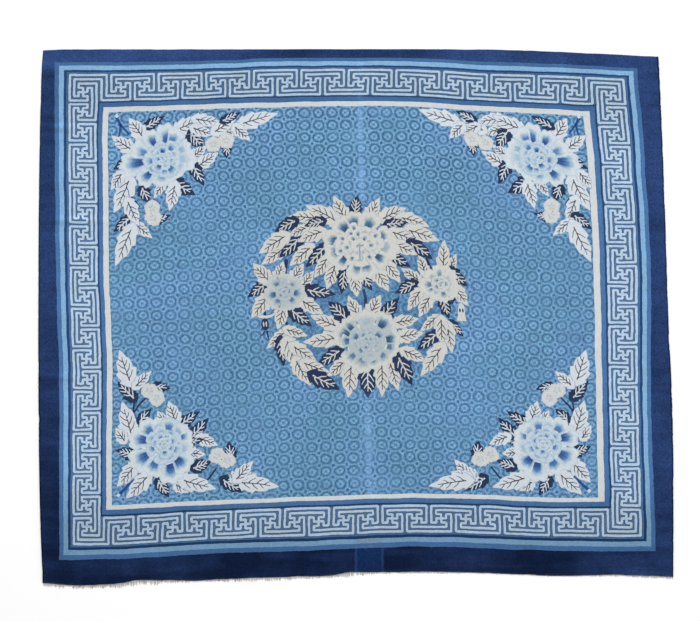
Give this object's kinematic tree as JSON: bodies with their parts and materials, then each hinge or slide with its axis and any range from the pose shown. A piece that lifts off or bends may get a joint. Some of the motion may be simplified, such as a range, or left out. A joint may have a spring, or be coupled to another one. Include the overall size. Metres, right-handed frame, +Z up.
{
  "type": "hand-knotted wool room rug",
  "caption": "Flat rectangular knotted-pile rug in blues and ivory with a key-fret border, flower medallion, corner sprays and frayed warp ends along one edge.",
  "frame": {"origin": "middle of the whole rug's box, on the plane of its underside", "axes": "+Z up through the pile, +Y along the warps towards the head edge, +X across the warps to the right; the frayed warp ends are at -Y"},
  "size_m": [3.107, 2.6501, 0.009],
  "materials": {
    "wool_pile": "worn knotted wool pile, matt, in blues and ivory",
    "cotton_warp": "frayed undyed cotton yarn, matt"
  },
  "bodies": {
    "root": {"pile_rug": "wool_pile", "warp_ends": "cotton_warp"}
  },
  "joints": []
}
